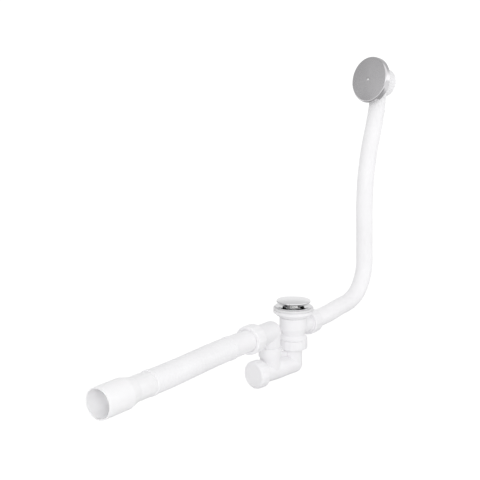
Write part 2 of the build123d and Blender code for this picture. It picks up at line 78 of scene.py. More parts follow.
CAD_BOX = [list(corner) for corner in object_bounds()]
NODES = frame["nodes"]
JOINTS = {joint["name"]: joint for joint in frame["joints"]}
CAP_POINT, CAP_WAY = (np.array(JOINTS["cap_turn"][key]) for key in ("pos_m", "axis"))

# Faces that meet at more than this angle keep a sharp edge, and an axis with a larger Z counts as upright
SHARP_EDGE = radians(38.0)
UPRIGHT = 0.99

# The overflow head leans back and is turned on its hose by this much, and its face looks this way
HEAD_LEAN, HEAD_TURN = radians(8.0), radians(14.5)
HEAD_WAY = np.array([-cos(HEAD_TURN) * cos(HEAD_LEAN), sin(HEAD_TURN), cos(HEAD_TURN) * sin(HEAD_LEAN)])

# Union nuts: the way from mouth to lip, and the diameters of the threaded mouth and of the lip's hole
UNION_NUTS = {
    "branch_nut": ((1.0, 0.0, 0.0), 0.0411, 0.0352),
    "trap_inlet_nut": ((0.0, 0.0, -1.0), 0.0446, 0.0356),
    "outlet_nut": ((-1.0, 0.0, 0.0), 0.045, 0.0406),
}

# Control points of the overflow hose's centre line, in millimetres
OVERFLOW_ROUTE = (
    (66.5, 0, -42.0), (88.4, 0, -42.1), (132.4, 0, -41.4), (175.5, 0, -36.3), (221.1, 0, -34.5),
    (259.7, 0, -16.9), (283.4, 0, 23.8), (280.8, 0, 67.9), (278.7, 0, 111.6), (275.8, 0, 155.5),
    (275.8, 0, 199.4), (281.8, 0, 242.9), (292.2, 0, 285.6), (308.8, 0, 326.3), (322.2, 0, 368.1),
    (323.9, 0, 388.1),
)

# The way across both hoses
HOSE_SIDE = np.array([0.0, 1.0, 0.0])

# Share of a plain end before the overflow hose's ribs begin, and the shares of the ringed hose's length at
# which it starts to drop and over which it drops
PLAIN_SHARE = 0.6
DROP_START, DROP_SPAN = 0.1, 0.74

# A grip rib's flank starts at this cosine and rises over this much of it
FLANK_START, FLANK_SPAN = 0.1, 0.7

# Where the two cleanout threads start on the cap's axis
TRAP_THREAD_START, CAP_THREAD_START = -0.0125, -0.0105

# Share of the pip's height that is sunk, and of a flat end's radius at which one more ring of points lies
PIP_SUNK, INNER_RING = 0.2, 0.4

# Steps along one rib, ring, rounding or turn, along the routes and bores, and round the tubes
GRIP_STEPS, RIB_STEPS, RING_STEPS, ROUND_STEPS, COIL_STEPS, THREAD_STEPS = 12, 8, 12, 7, 48, 92
ROUTE_STEPS, OVERFLOW_BORE_STEPS, RINGED_BORE_STEPS, PIP_STEPS = 32, 90, 24, 9
OVERFLOW_AROUND, RINGED_AROUND, WIRE_AROUND, PIP_AROUND = 56, 72, 12, 32

# Moulded skins: range of roughness, scales of the grain and of the flow marks, strength of the bump
WHITE_SKIN = ((0.3, 0.42), 1500.0, 38.0, 0.12)
HOSE_SKIN = ((0.34, 0.48), 1100.0, 26.0, 0.1)
INNER_SKIN = ((0.4, 0.55), 1800.0, 60.0, 0.15)
HOUSING_SKIN = ((0.35, 0.5), 1800.0, 60.0, 0.15)
SEAL_SKIN = ((0.55, 0.75), 2200.0, 90.0, 0.3)
GASKET_SKIN = ((0.5, 0.65), 2000.0, 80.0, 0.2)
GRAIN_DEPTH, PLASTIC_IOR, THIN_GLOW, THIN_DEPTH = 0.0003, 1.49, 0.25, 0.01
PLASTIC_TONES = (0.985, 1.01)
WHITE_PLASTIC = "White moulded plastic"

# Turned metals: scale of the lines, range of roughness, strength of the bump, spread of the tone
POLISHED = (1800.0, (0.05, 0.12), 0.02, 0.015)
DRAWN = (3000.0, (0.25, 0.4), 0.1, 0.05)
SPUN = (5200.0, (0.26, 0.34), 0.03, 0.008)
SATIN = (3000.0, (0.28, 0.36), 0.02, 0.01)
LINE_DEPTH, MARKS_SHARE, RIM_ROUGHNESS, SPUN_STRETCH = 0.00005, 0.4, 0.1, 0.75
DRAWN_STEEL = "Drawn steel"

# Most values of a noise lie between these
NOISE_RANGE = (0.3, 0.7)

# Parts of the room: the way to each, and how far a ray faces it where its light starts and is full
FAR_SIDE = ((0.95, -0.1, 0.2), -0.9, 0.7)
LEFT_PANEL = ((-0.98, -0.05, 0.2), 0.35, 0.9)
RIGHT_PANEL = ((-0.4, -0.9, 0.1), 0.1, 0.6)
DIM_SIDE = ((0.0, 1.0, 0.1), 0.75, 1.0)
AHEAD = ((1.0, 0.0, 0.0), 0.1, 0.5)
CEILING = ((0.0, 0.0, 1.0), 0.2, 0.5)
HORIZON = ((0.0, 0.0, 1.0), 0.02, 0.1)
CEILING_DIM = 0.75

# The white that the camera sees, and the floor: tones, skin, and how far it is shadeless and mirrored
WHITE, WHITE_LIGHT = (1.0, 1.0, 1.0, 1.0), 1.1
FLOOR_TONES = ((0.9, 0.9, 0.9), (0.92, 0.92, 0.92))
FLOOR_SKIN = {"Grain": 40.0, "Flow": 1.5}
FLOOR_ROUGHNESS, FLOOR_SHADELESS, FLOOR_MIRRORED = 0.9, 0.9, 0.8

# Distances between which the mirrored floor brightens, and its light at each
FLOOR_GLOW = (0.68, 1.2, 0.4, 1.15)

# Place and turn of the key light, and for each small lamp the way to it, its reach and distance
KEY_PLACE = (-1.75, -1.42, 0.9)
KEY_TURN = (radians(70.0), 0.0, radians(-51.0))
MOUTH_LAMP = {"way": (-0.9, -0.4, 0.15), "reach": 0.017, "distance": 1.0}
PLUG_LAMP = {"way": (-0.79, -0.57, 0.26), "reach": 0.0046, "distance": 0.5}
STEM_MIDDLE = (0.0, 0.0, 0.0015)
LAMP_BLEND, LAMP_RADIUS = 0.5, 0.01
SENSOR_WIDTH, VIEW_END = 36.0, 100.0


# Sizes and colours that a user would change


def length(name, description, default):
    """A length in metres among the settings."""
    return FloatProperty(name=name, description=description, default=default, unit="LENGTH", precision=5)


def number(name, description, default, **limits):
    """A plain number, an angle or a power among the settings."""
    return FloatProperty(name=name, description=description, default=default, **limits)


def colour(name, description, default):
    """A colour among the settings."""
    return FloatVectorProperty(
        name=name, description=description, default=default, subtype="COLOR", size=3, min=0.0, max=1.0
    )


class HoseSizes(PropertyGroup):
    """Sizes of the overflow hose and of the ringed outlet hose."""

    overflow_d: length("Overflow hose", "Outer diameter over the ribs", 0.0348)
    overflow_bore_d: length("Overflow bore", "Inner diameter of the overflow hose", 0.029)
    rib_pitch: length("Rib pitch", "Distance from one rib to the next", 0.0046)
    rib_depth: length("Rib depth", "Height of the ribs over the grooves", 0.00012)
    collar_d: length("Collar", "Collar that the branch nut clamps", 0.039)
    collar_t: length("Collar thickness", "Thickness of that collar", 0.003)
    plain_end: length("Plain end", "Smooth length at each end", 0.022)
    ring_crest_d: length("Ring crests", "Diameter over the outlet hose's rings", 0.0412)
    ring_root_d: length("Ring roots", "Diameter between the rings", 0.0406)
    ring_bore_d: length("Ringed bore", "Inner diameter of the ringed hose", 0.034)
    ring_count: IntProperty(name="Rings", description="Rings along the outlet hose", default=31, min=3)
    cuff_d: length("Cuffs", "Diameter of the ringed hose's end cuffs", 0.0424)
    cuff_length: length("Cuff length", "Length of each cuff", 0.007)
    cuff_round: length("Cuff rounding", "Rounding of the cuffs' edges", 0.0007)


class NutSizes(PropertyGroup):
    """Sizes of the union nuts and of the cleanout cap."""

    rib_count: IntProperty(name="Grip ribs", description="Ribs round a nut", default=16, min=3)
    rib_height: length("Rib height", "Height of the grip ribs", 0.00045)
    edge_round: length("Edge rounding", "Rounding of a nut's edges", 0.0018)
    lip_t: length("Lip", "Thickness of a nut's inner lip", 0.003)
    cap_round: length("Cap rounding", "Rounding of the cap's front edge", 0.005)
    cap_rim: length("Cap rim", "Width of the rim round the cap's sunk face", 0.0065)
    cap_recess: length("Cap recess", "Depth of the cap's sunk face", 0.0006)
    cap_face_t: length("Cap face", "Thickness of the cap over its rim", 0.005)
    cap_bore_d: length("Cap bore", "Diameter of the cap's threaded bore", 0.0432)


class ThreadSizes(PropertyGroup):
    """Sizes of the cleanout's screw thread."""

    core_d: length("Core", "Diameter under the trap's thread", 0.0426)
    pitch: length("Pitch", "Travel in one turn", 0.004)
    height: length("Height", "Height of a thread over its core", 0.00024)
    width: length("Width", "Width of a thread at its foot", 0.0016)
    outer_turns: number("Outer turns", "Turns on the trap's end", 2.2, min=0.5)
    inner_turns: number("Inner turns", "Turns in the cap", 1.6, min=0.5)


class SpringSizes(PropertyGroup):
    """Sizes of the plug's spring."""

    wire_d: length("Wire", "Diameter of the spring's wire", 0.0012)
    turns: number("Turns", "Turns of the spring", 4.0, min=1.0)


class CoverSizes(PropertyGroup):
    """Sizes of the spun cover's own details."""

    pip_d: length("Centre pip", "Diameter of the bright pip in the cover's middle", 0.0048)
    pip_height: length("Pip height", "Height of the pip over the cover", 0.0015)
    face_d: length("Face", "Diameter of the satin face inside the polished rim", 0.088)
    rim_d: length("Rim", "Diameter from which the rim is fully polished", 0.0905)


class FinishColours(PropertyGroup):
    """Colours of the finishes."""

    plastic: colour("Moulded plastic", "White of the moulded pieces", (0.928, 0.922, 0.937))
    hose: colour("Hose plastic", "White of the overflow hose", (0.972, 0.966, 0.98))
    ringed: colour("Ringed hose", "White of the ringed hose", (0.915, 0.91, 0.925))
    # Painted shade: the elbow's white is a darker copy of the moulded white, standing in for the shadow that
    # the waste body casts on it
    elbow: colour("Elbow plastic", "White of the outlet elbow", (0.905, 0.9, 0.915))
    pipe: colour("Pipe plastic", "White of the thin open pipe end", (0.965, 0.96, 0.973))
    inner: colour("Inner plastic", "Pale grey of the hidden pieces", (0.84, 0.84, 0.83))
    housing: colour("Housing plastic", "Grey of the plug's cartridge", (0.66, 0.66, 0.66))
    chrome: colour("Chrome", "Reflectance of the plated plug", (0.915, 0.915, 0.925))
    flange: colour("Flange", "Reflectance of the plated flange", (0.8, 0.8, 0.81))
    cover: colour("Cover", "Reflectance of the spun cover", (0.64, 0.63, 0.645))
    pip: colour("Pip", "Reflectance of the cover's pip", (0.98, 0.98, 0.98))
    steel: colour("Steel", "Reflectance of the screw and spring", (0.56, 0.55, 0.53))
    dark_rubber: colour("Dark rubber", "Black of the seals", (0.018, 0.018, 0.02))
    pale_rubber: colour("Pale rubber", "White of the waste gasket", (0.8, 0.795, 0.805))


class StageSettings(PropertyGroup):
    """Camera, light and floor of the small studio."""

    camera_place: FloatVectorProperty(
        name="Camera", description="Place of the camera", default=(-1.321, -0.835, 0.403),
        subtype="TRANSLATION", size=3,
    )
    camera_heading: number("Heading", "Camera's turn about the upright axis", radians(-54.0), subtype="ANGLE")
    camera_tilt: number("Tilt", "Camera's tilt below the horizon", radians(10.0), subtype="ANGLE")
    lens: number("Lens", "Focal length in millimetres on a 36 mm sensor", 63.75, min=1.0)
    floor_size: length("Floor", "Side of the floor", 40.0)
    key_power: number("Key light", "Power of the key light", 14.9, unit="POWER")
    key_size: length("Key size", "Diameter of the key light", 1.4)
    mouth_power: number("Mouth lamp", "Power of the lamp into the open pipe", 18.5, unit="POWER")
    plug_power: number("Plug lamp", "Power of the lamp under the plug", 19.0, unit="POWER")
    bright_side: number("Bright side", "Light of the room on the far side", 0.86, min=0.0)
    dark_side: number("Dark side", "Light of the room on the camera's side", 0.665, min=0.0)
    left_panel: number("Left panel", "Light of the panel that the cover's face mirrors", 0.1, min=0.0)
    right_panel: number("Right panel", "Light of the panel that the cover's rim mirrors", 0.75, min=0.0)
    side_dim: number("Side", "Light left on the side that the cover's edge mirrors", 0.72, min=0.0, max=1.0)
    horizon_dim: number("Horizon", "How far plated edges see a dim horizon", 0.4, min=0.0, max=1.0)


class BathWasteSettings(PropertyGroup):
    """All settings of the bath waste."""

    hoses: PointerProperty(type=HoseSizes)
    nuts: PointerProperty(type=NutSizes)
    threads: PointerProperty(type=ThreadSizes)
    spring: PointerProperty(type=SpringSizes)
    cover: PointerProperty(type=CoverSizes)
    colours: PointerProperty(type=FinishColours)
    stage: PointerProperty(type=StageSettings)


def settings():
    """The settings on the open scene."""
    return bpy.context.scene.bath_waste


def node_middle(node):
    """Centre of a CAD node's box, in metres."""
    low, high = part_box(node)
    return (np.array(low) + np.array(high)) / 2


def mesh_points(mesh):
    """Vertices of a mesh as an array."""
    points = np.empty(len(mesh.vertices) * 3, np.float32)
    mesh.vertices.foreach_get("co", points)
    return points.reshape(-1, 3).astype(float)


def around_axis(node, point, way):
    """A CAD node's first and last run along an axis through a point, and its largest radius about it."""
    across = mesh_points(NODES[node].data) - point
    run = across.dot(way)
    return run.min(), run.max(), np.linalg.norm(across - np.outer(run, way), axis=1).max()


# Surfaces


def wound_quads(rows, columns, closed_rows):
    """Quads of a grid whose columns close: face (i, j) joins row i to i+1 and column j to j+1.
    The last row joins the first where the rows close too."""
    last = rows if closed_rows else rows - 1
    i, j = np.meshgrid(np.arange(last), np.arange(columns), indexing="ij")
    up, right = (i + 1) % rows, (j + 1) % columns
    corners = [i * columns + j, i * columns + right, up * columns + right, up * columns + j]
    return np.stack(corners, axis=-1).reshape(-1, 4)


def outward(points, faces):
    """The faces, all turned round if the volume that they enclose is negative. Each face adds the volumes
    of the tetrahedra from the origin to its triangles."""
    volume = 0.0
    for corners in faces:
        for k in range(1, corners.shape[1] - 1):
            a, b, c = (points[corners[:, n]] for n in (0, k, k + 1))
            volume += np.einsum("ij,ij->", a, np.cross(b, c))
    return faces if volume > 0 else [corners[:, ::-1] for corners in faces]


def mesh_piece(name, points, faces, body, material):
    """A smooth mesh object from a point array and face arrays, on a body and in a slot."""
    mesh = bpy.data.meshes.new(name)
    listed = [corners for group in outward(points, faces) for corners in group.tolist()]
    mesh.from_pydata(points.tolist(), [], listed)
    mesh.polygons.foreach_set("use_smooth", np.ones(len(listed), bool))
    mesh.set_sharp_from_angle(angle=SHARP_EDGE)
    if mesh.validate():
        raise RuntimeError(f"{name}: its mesh had broken faces")
    mesh.materials.append(material)
    piece = bpy.data.objects.new(name, mesh)
    bpy.context.scene.collection.objects.link(piece)
    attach(piece, body)
    return piece


def carried(radius, centre, side, up, around):
    """Rings carried along a path: point(i, j) = centre_i + radius_i * (cos a_j * side_i + sin a_j * up_i),
    with a_j = 2 pi j / around."""
    a = 2 * pi * np.arange(around)[None, :, None] / around
    across = np.cos(a) * side[:, None] + np.sin(a) * up[:, None]
    return (centre[:, None] + radius[:, None, None] * across).reshape(-1, 3)


def axes_across(way):
    """Two unit directions square to a direction and to each other."""
    side = np.cross(way, (0.0, 0.0, 1.0) if abs(way[2]) < UPRIGHT else (0.0, 1.0, 0.0))
    side /= np.linalg.norm(side)
    return side, np.cross(way, side)


def turned(run, radius, point, axis, poles):
    """A shape turned about an axis, with a_j = 2 pi j / around:
    point(i, j) = point + run_i * axis + radius_ij * (cos a_j * side + sin a_j * up).
    With poles, fans to the first and last run on the axis close it, and otherwise the last row joins the
    first. Gives the points and the faces."""
    axis = np.asarray(axis, float)
    side, up = axes_across(axis)
    rows, around = radius.shape
    a = 2 * pi * np.arange(around)[None, :, None] / around
    grid = point + run[:, None, None] * axis + radius[..., None] * (np.cos(a) * side + np.sin(a) * up)
    if not poles:
        return grid.reshape(-1, 3), [wound_quads(rows, around, True)]
    points = np.vstack([grid[1:-1].reshape(-1, 3), point + run[[0, -1], None] * axis])
    return points, [wound_quads(rows - 2, around, False), end_fans(rows - 2, around)]


def quarter(run, radius, size_run, size_radius, turn):
    """Corners of a quarter round: (run + size_run * cos t, radius + size_radius * sin t), with t from the
    turn on over 90 degrees. A negative size mirrors it."""
    t = radians(turn) + np.linspace(0, pi / 2, ROUND_STEPS)
    return np.column_stack([run + size_run * np.cos(t), radius + size_radius * np.sin(t)])


def smooth(value):
    """A soft step of a value from 0 to 1: 3 v^2 - 2 v^3, with v held between 0 and 1."""
    held = np.clip(value, 0.0, 1.0)
    return held**2 * (3 - 2 * held)


def ribbed(profile, gripped, sizes):
    """Radii of a ribbed nut: where the profile is gripped, r - h * (1 - w), with w = 1 on a rib and 0 between
    ribs, and w smooth in the cosine of the angle times the ribs."""
    around = sizes.rib_count * GRIP_STEPS
    wave = np.cos(sizes.rib_count * 2 * pi * np.arange(around) / around)
    w = smooth((wave - FLANK_START) / FLANK_SPAN)
    return profile[:, 1][:, None] - sizes.rib_height * gripped[:, None] * (1 - w)[None, :]


def coil(radius, low, high, turns, wire_r):
    """A round wire on a helix about the Z axis: at angle a the wire's centre is at radius r and at the height
    low + (high - low) * a / (2 pi turns), and its ring lies across the helix. A fan closes each end.
    Gives the points and the faces."""
    rows, around = int(turns * COIL_STEPS), WIRE_AROUND
    a = np.linspace(0, 2 * pi * turns, rows)
    out = np.stack([np.cos(a), np.sin(a), np.zeros(rows)], axis=-1)
    centre = radius * out + np.outer(np.linspace(low, high, rows), (0.0, 0.0, 1.0))
    rise = (high - low) / (2 * pi * turns)
    ahead = np.stack([-radius * np.sin(a), radius * np.cos(a), np.full(rows, rise)], axis=-1)
    over = np.cross(ahead / np.linalg.norm(ahead, axis=1, keepdims=True), out)
    points = np.vstack([carried(np.full(rows, wire_r), centre, out, over, around), centre[[0, -1]]])
    return points, [wound_quads(rows, around, False), end_fans(rows, around)]


def end_fans(rows, around):
    """Triangles that close a tube's two ends to the two points that follow its grid."""
    j = np.arange(around)
    ahead, last = (j + 1) % around, (rows - 1) * around
    first_fan = np.column_stack([np.full(around, rows * around), ahead, j])
    last_fan = np.column_stack([np.full(around, rows * around + 1), last + j, last + ahead])
    return np.vstack([first_fan, last_fan])


def helix_thread(point, axis, start, turns, foot_r, height, sizes):
    """A thread of trapezoid section on a helix: at angle a the section sits pitch * a / 2 pi along the axis,
    and its height fades to nothing over the first and last quarter turn. Gives a grid of points."""
    side, up = axes_across(axis)
    angle = np.linspace(0, 2 * pi * turns, int(THREAD_STEPS * turns))
    fade = np.clip(np.minimum(angle, angle[-1] - angle) / (pi / 2), 0, 1)[:, None] ** 0.5
    section = np.array([[-0.5, -0.2], [-0.2, 1.0], [0.2, 1.0], [0.5, -0.2]])
    run = start + sizes.pitch * angle[:, None] / (2 * pi) + sizes.width * section[None, :, 0]
    rise = section[None, :, 1]
    radius = foot_r + height * np.where(rise > 0, rise * fade, rise)
    out = np.cos(angle)[:, None, None] * side + np.sin(angle)[:, None, None] * up
    return point + run[..., None] * axis + radius[..., None] * out


def spline_points(route):
    """Points of the smooth quadratic spline that has the route's points as its control points."""
    curve = bpy.data.curves.new("route", "CURVE")
    curve.dimensions = "3D"
    curve.resolution_u = ROUTE_STEPS
    spline = curve.splines.new("NURBS")
    spline.points.add(len(route) - 1)
    spline.points.foreach_set("co", np.column_stack([route, np.ones(len(route))]).astype(np.float32).ravel())
    spline.order_u = 3
    spline.use_endpoint_u = True
    carrier = bpy.data.objects.new("route", curve)
    mesh = bpy.data.meshes.new_from_object(carrier)
    points = mesh_points(mesh)
    bpy.data.objects.remove(carrier)
    bpy.data.curves.remove(curve)
    bpy.data.meshes.remove(mesh)
    return points


def ribbed_profile(total, sizes):
    """Closed profile of the overflow hose: collar, plain end, ribs, plain end, and the bore on the way back.
    Over the ribs the radius is crest - depth * (1 - cos(2 pi run / pitch)) / 2, faded to the plain ends."""
    outer, bore = sizes.overflow_d / 2, sizes.overflow_bore_d / 2
    collar, thick = sizes.collar_d / 2, sizes.collar_t
    first = np.array([[0.0, bore], [0.0, collar], [thick, collar], [thick, outer - sizes.rib_depth / 2]])
    steps = int(round((total - thick) / sizes.rib_pitch)) * RIB_STEPS
    run = np.linspace(thick, total, steps + 1)[1:]
    fade = np.clip(np.minimum(run - thick, total - run) / sizes.plain_end - PLAIN_SHARE, 0.0, 1.0)
    wave = 0.5 * np.cos(2 * pi * run / sizes.rib_pitch) * fade
    ribs = np.column_stack([run, outer - sizes.rib_depth * (0.5 - wave)])
    back = np.linspace((total, bore), (0.0, bore), OVERFLOW_BORE_STEPS)[:-1]
    return np.vstack([first, ribs, back])


def ringed_profile(total, sizes):
    """Closed profile of the ringed hose: cuff, rings, cuff, and the bore on the way back.
    Over the rings the radius is root + (crest - root) * sin(pi run count / total) ** 2."""
    cuff, cuff_end, edge = sizes.cuff_d / 2, sizes.cuff_length, sizes.cuff_round
    root, crest, bore = sizes.ring_root_d / 2, sizes.ring_crest_d / 2, sizes.ring_bore_d / 2
    rounding = np.array([[0.0, -1.0], [0.3, -0.3], [1.0, 0.0]]) * edge
    first = np.vstack([[[0.0, bore]], rounding + [0.0, cuff], rounding[::-1] * [-1, 1] + [cuff_end, cuff]])
    run = np.linspace(cuff_end, total - cuff_end, sizes.ring_count * RING_STEPS + 1)
    wave = np.sin(pi * run * sizes.ring_count / total) ** 2
    rings = np.column_stack([run, root + (crest - root) * wave])
    last = np.column_stack([total - first[::-1, 0], first[::-1, 1]])
    back = np.linspace((total, bore), (0.0, bore), RINGED_BORE_STEPS)[1:-1]
    return np.vstack([first, rings, last, back])


# Shared effects, each a node group


def placed(tree, kind, inputs, output=0, **options):
    """A new node with its options set and its inputs linked to sockets or set to values. Gives one output."""
    node = tree.nodes.new("ShaderNode" + kind)
    for label, value in options.items():
        setattr(node, label, value)
    for label, value in inputs.items():
        if isinstance(value, bpy.types.NodeSocket):
            tree.links.new(value, node.inputs[label])
        else:
            node.inputs[label].default_value = value
    return node.outputs[output]


def worked(tree, operation, first, second=0.0):
    """A Math node on two sockets or numbers."""
    return placed(tree, "Math", {0: first, 1: second}, operation=operation)


def noise(tree, vector, scale, detail, roughness=0.55):
    """A Noise texture on a vector."""
    inputs = {"Vector": vector, "Scale": scale, "Detail": detail, "Roughness": roughness}
    return placed(tree, "TexNoise", inputs)


def stretched(tree, value, low, high, to_low=0.0, to_high=1.0):
    """A value stretched from low..high to another range, smoothly and clamped."""
    inputs = {"Value": value, "From Min": low, "From Max": high, "To Min": to_low, "To Max": to_high}
    return placed(tree, "MapRange", inputs, interpolation_type="SMOOTHSTEP")


def new_group(name, inputs, outputs):
    """A shader node group with its input and output nodes and plain number sockets."""
    group = bpy.data.node_groups.new(name, "ShaderNodeTree")
    group.interface.new_socket("Vector", in_out="INPUT", socket_type="NodeSocketVector")
    for label, value in inputs.items():
        socket = group.interface.new_socket(label, in_out="INPUT", socket_type="NodeSocketFloat")
        socket.default_value = value
    for label in outputs:
        group.interface.new_socket(label, in_out="OUTPUT", socket_type="NodeSocketFloat")
    return group, group.nodes.new("NodeGroupInput").outputs, group.nodes.new("NodeGroupOutput").inputs


def moulded_skin_group():
    """Skin of a moulded piece: a fine grain from the tool, and slow flow marks in gloss and tone."""
    inputs = {"Grain": 1400.0, "Flow": 38.0}
    group, given, out = new_group("Moulded skin", inputs, ["Height", "Gloss", "Tone"])
    grain = noise(group, given["Vector"], given["Grain"], 2.0)
    flow = noise(group, given["Vector"], given["Flow"], 3.0)
    tone = noise(group, given["Vector"], worked(group, "MULTIPLY", given["Flow"], 0.45), 2.0)
    height = worked(group, "ADD", worked(group, "MULTIPLY", grain, 0.35), flow)
    group.links.new(height, out["Height"])
    group.links.new(stretched(group, flow, *NOISE_RANGE), out["Gloss"])
    group.links.new(stretched(group, tone, *NOISE_RANGE), out["Tone"])
    return group


def turned_lines_group():
    """Lines of a turned or spun face about the vector's Z axis: noise of the radius, drawn out round it."""
    inputs = {"Lines": 2400.0, "Sweep": 2.2}
    group, given, out = new_group("Turned lines", inputs, ["Height", "Gloss", "Tone", "Radius"])
    x, y = (placed(group, "SeparateXYZ", {0: given["Vector"]}, axis) for axis in "XY")
    square = worked(group, "ADD", worked(group, "MULTIPLY", x, x), worked(group, "MULTIPLY", y, y))
    radius = worked(group, "MAXIMUM", worked(group, "SQRT", square), 1e-5)
    along = worked(group, "MULTIPLY", radius, given["Lines"])
    turn_x, turn_y = (
        worked(group, "MULTIPLY", worked(group, "DIVIDE", part, radius), given["Sweep"]) for part in (x, y)
    )
    wound = placed(group, "CombineXYZ", {0: along, 1: turn_x, 2: turn_y})
    lines = noise(group, wound, 1.0, 3.0, 0.7)
    bands = noise(group, wound, 0.12, 2.0)
    group.links.new(lines, out["Height"])
    group.links.new(stretched(group, lines, 0.25, 0.75), out["Gloss"])
    group.links.new(stretched(group, bands, *NOISE_RANGE), out["Tone"])
    group.links.new(radius, out["Radius"])
    return group


def handling_group():
    """Handling marks: soft smudges and thin wipe lines, as one mask for gloss."""
    group, given, out = new_group("Handling marks", {"Smudges": 60.0}, ["Marks"])
    smudge = stretched(group, noise(group, given["Vector"], given["Smudges"], 4.0, 0.6), 0.42, 0.72)
    wipes = {"Vector": given["Vector"], "Rotation": (0.3, 0.5, 0.7), "Scale": (1.0, 18.0, 9.0)}
    wipe = stretched(group, noise(group, placed(group, "Mapping", wipes), 55.0, 3.0, 0.7), 0.55, 0.75)
    group.links.new(worked(group, "MAXIMUM", smudge, worked(group, "MULTIPLY", wipe, 0.6)), out["Marks"])
    return group


# Finishes


def place_group(tree, name, make, vector, **values):
    """Outputs of the group of that name, made on its first use, fed with a vector and its own values."""
    group = bpy.data.node_groups.get(name) or make()
    return placed(tree, "Group", {"Vector": vector, **values}, node_tree=group).node.outputs


def new_finish(name):
    """A node material with its shader, its tree and the object coordinates that its patterns read."""
    material = bpy.data.materials.new(name)
    material.use_nodes = True
    tree = material.node_tree
    return material, tree, tree.nodes["Principled BSDF"], placed(tree, "TexCoord", {}, "Object")


def between(tree, mask, first, second):
    """A colour between two colours by a mask."""
    return placed(tree, "Mix", {0: mask, 6: (*first, 1.0), 7: (*second, 1.0)}, 2, data_type="RGBA")


def blended(tree, share, first, second):
    """A shader between two shaders by a share."""
    return placed(tree, "MixShader", {0: share, 1: first, 2: second})


def bumped(tree, shader, height, strength, distance):
    """A Bump node from a height to the shader's normal."""
    bump = placed(tree, "Bump", {"Height": height, "Strength": strength, "Distance": distance})
    tree.links.new(bump, shader.inputs["Normal"])


def tinted(shade, factor):
    """A colour made darker or lighter by a factor, kept within 0 and 1."""
    return tuple(min(1.0, max(0.0, channel * factor)) for channel in shade)


def moulded_finish(name, shade, gloss, grain, flow, bump, depth=0.0):
    """Satin moulded plastic: flow marks in tone and gloss, a fine grain, and light that goes as deep as given
    into a thin wall."""
    material, tree, shader, place = new_finish(name)
    skin = place_group(tree, "Moulded skin", moulded_skin_group, place, Grain=grain, Flow=flow)
    dark, light = (tinted(shade, factor) for factor in PLASTIC_TONES)
    tree.links.new(between(tree, skin["Tone"], dark, light), shader.inputs["Base Color"])
    tree.links.new(stretched(tree, skin["Gloss"], 0.0, 1.0, *gloss), shader.inputs["Roughness"])
    shader.inputs["IOR"].default_value = PLASTIC_IOR
    if depth:
        shader.inputs["Subsurface Weight"].default_value = THIN_GLOW
        shader.inputs["Subsurface Radius"].default_value = (1.0, 1.0, 1.0)
        shader.inputs["Subsurface Scale"].default_value = depth
    bumped(tree, shader, skin["Height"], bump, GRAIN_DEPTH)
    return material


def turned_finish(name, shade, lines, gloss, bump, tone, centre=(0, 0, 0), turn=(0, 0, 0), rim=None):
    """Plated metal with turned lines about an axis, given by its centre and the turn that brings Z to it.
    A rim of (from radius, to radius) is polished more than the face inside it."""
    material, tree, shader, place = new_finish(name)
    inputs = {"Vector": place, "Location": centre, "Rotation": turn}
    centred = placed(tree, "Mapping", inputs, vector_type="TEXTURE")
    spun = place_group(tree, "Turned lines", turned_lines_group, centred, Lines=lines)
    marks = place_group(tree, "Handling marks", handling_group, place)
    dark, light = tinted(shade, 1 - tone), tinted(shade, 1 + tone)
    tree.links.new(between(tree, spun["Tone"], dark, light), shader.inputs["Base Color"])
    lined = worked(tree, "MULTIPLY", spun["Gloss"], 1 - MARKS_SHARE)
    dull = worked(tree, "ADD", lined, worked(tree, "MULTIPLY", marks["Marks"], MARKS_SHARE))
    roughness = stretched(tree, dull, 0.0, 1.0, *gloss)
    if rim:
        inside = stretched(tree, spun["Radius"], *rim, 1.0, 0.0)
        roughness = worked(tree, "MAXIMUM", worked(tree, "MULTIPLY", roughness, inside), RIM_ROUGHNESS)
    tree.links.new(roughness, shader.inputs["Roughness"])
    shader.inputs["Metallic"].default_value = 1.0
    bumped(tree, shader, spun["Height"], bump, LINE_DEPTH)
    return material


def dress(nodes, material):
    """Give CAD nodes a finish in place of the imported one."""
    for node in nodes:
        slots = NODES[node].material_slots
        if not slots:
            raise RuntimeError(f"{node}: it has no material slot")
        for slot in slots:
            slot.material = material


def white_piece(name, points, faces, body):
    """A mesh object of white moulded plastic, on a body."""
    return mesh_piece(name, points, faces, body, bpy.data.materials[WHITE_PLASTIC])


def hose_piece(name, radius, centre, up, around, material):
    """A closed hose whose rings are carried along a path in the plane of X and Z."""
    points = carried(radius, centre, np.tile(HOSE_SIDE, (len(radius), 1)), up, around)
    faces = [wound_quads(len(radius), around, True)]
    return mesh_piece(name, points, faces, "fixed_fitting", material)


# Operators, one for each piece or group of like pieces


class BATHWASTE_OT_moulded(Operator):
    """Finish the white moulded pieces and the inner ones"""

    bl_idname = "bath_waste.moulded"
    bl_label = "Moulded pieces"

    def execute(self, context):
        colours = settings().colours
        white = moulded_finish(WHITE_PLASTIC, colours.plastic, *WHITE_SKIN)
        dress(["waste_body", "branch_nut", "overflow_body", "trap_inlet_nut", "trap_body"], white)
        dress(["outlet_nut", "outlet_tail", "cleanout_cap"], white)
        # The outlet elbow gets a darker copy of the white plastic as painted shade
        dress(["outlet_elbow"], moulded_finish("White elbow plastic", colours.elbow, *WHITE_SKIN))
        dress(["outlet_end"], moulded_finish("White thin pipe", colours.pipe, *WHITE_SKIN, depth=THIN_DEPTH))
        inner = moulded_finish("Pale inner plastic", colours.inner, *INNER_SKIN)
        dress(["overflow_grate", "latch_ring", "plug_stem"], inner)
        dress(["cartridge_housing"], moulded_finish("Housing plastic", colours.housing, *HOUSING_SKIN))
        return {"FINISHED"}


